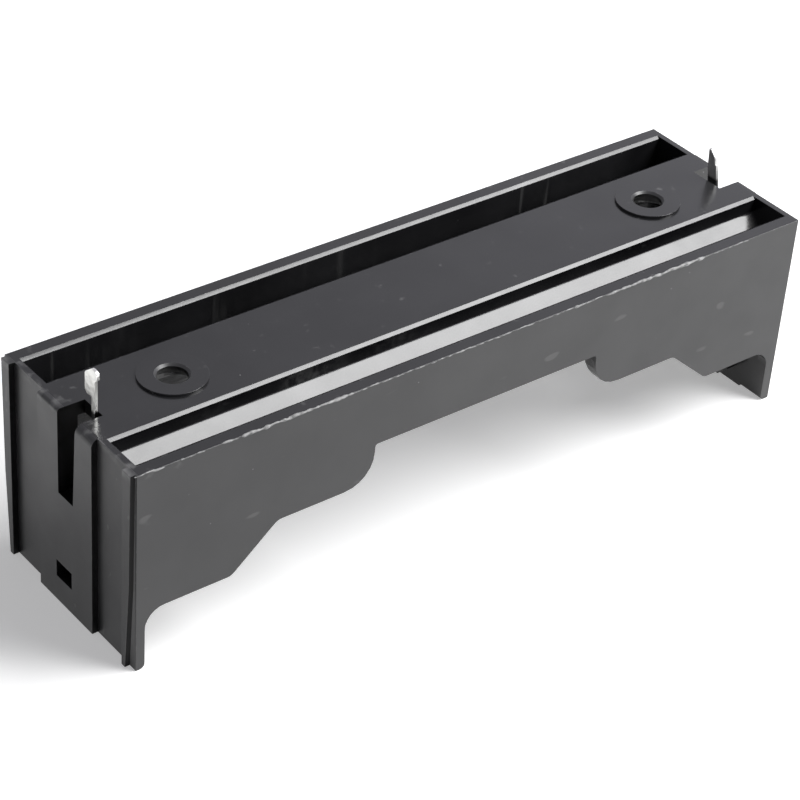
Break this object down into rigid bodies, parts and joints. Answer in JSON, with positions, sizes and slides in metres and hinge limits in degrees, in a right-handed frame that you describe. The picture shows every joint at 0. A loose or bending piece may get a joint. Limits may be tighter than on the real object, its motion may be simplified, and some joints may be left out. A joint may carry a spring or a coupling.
{
  "type": "single cell battery holder",
  "caption": "Black moulded holder for one round battery cell, with stepped open side walls, a screw-down plate, solder pins and a coil spring contact.",
  "frame": {"origin": "under the middle of the holder, on the plane of its open mouth, which it rests on", "axes": "+X runs along the cell from the spring end to the nub end, +Y across it, +Z from the open mouth to the mounting side with the solder pins"},
  "size_m": [0.077, 0.021, 0.0254],
  "materials": {
    "black_plastic": "moulded black plastic with a soft gloss",
    "tinned_plate": "bright tinned sheet",
    "plated_steel": "dull plated sheet",
    "spring_steel": "plated spring wire"
  },
  "bodies": {
    "holder": {"holder_body": "black_plastic", "negative_contact": "tinned_plate", "positive_contact": "plated_steel"},
    "spring": {"contact_spring": "spring_steel"}
  },
  "joints": [
    {"name": "spring_compress", "type": "slide", "parent": "holder", "child": "spring", "axis": [-1, 0, 0], "range_m": [0, 0.0045], "stiffness_N_per_m": 60, "deforming": ["contact_spring"]}
  ]
}
